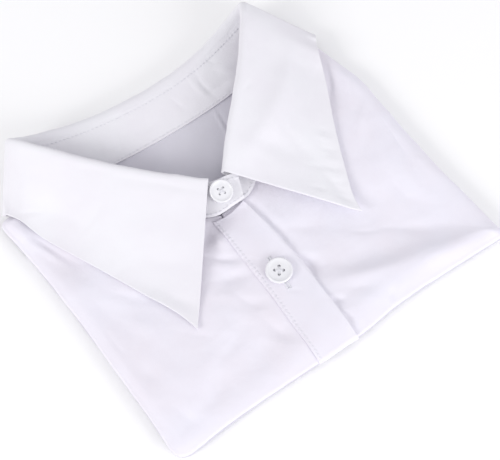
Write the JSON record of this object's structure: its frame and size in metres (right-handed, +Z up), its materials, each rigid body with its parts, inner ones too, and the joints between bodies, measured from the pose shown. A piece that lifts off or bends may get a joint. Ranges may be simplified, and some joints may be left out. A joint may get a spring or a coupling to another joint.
{
  "type": "detachable shirt collar",
  "caption": "Detachable white shirt collar with a buttoned half shirt front, folded flat for display.",
  "frame": {"origin": "middle of the folded garment's underside, on the surface that it lies on", "axes": "+Z up, away from the surface; +Y from the folded bottom edge to the neck; +X to the viewer's right, the wearer's left"},
  "size_m": [0.2388, 0.2116, 0.0284],
  "materials": {
    "front_cotton": "white woven cotton, matte",
    "back_cotton": "white woven cotton, matte",
    "collar_cotton": "white woven cotton with interlining, smooth and matte",
    "button_plastic": "white polished plastic"
  },
  "bodies": {
    "root": {"front_right": "front_cotton", "front_left": "front_cotton", "placket": "front_cotton", "back": "back_cotton", "folded_layers": "back_cotton", "collar_leaf": "collar_cotton", "collar_stand": "collar_cotton", "button_top": "button_plastic", "button_second": "button_plastic"}
  },
  "joints": []
}
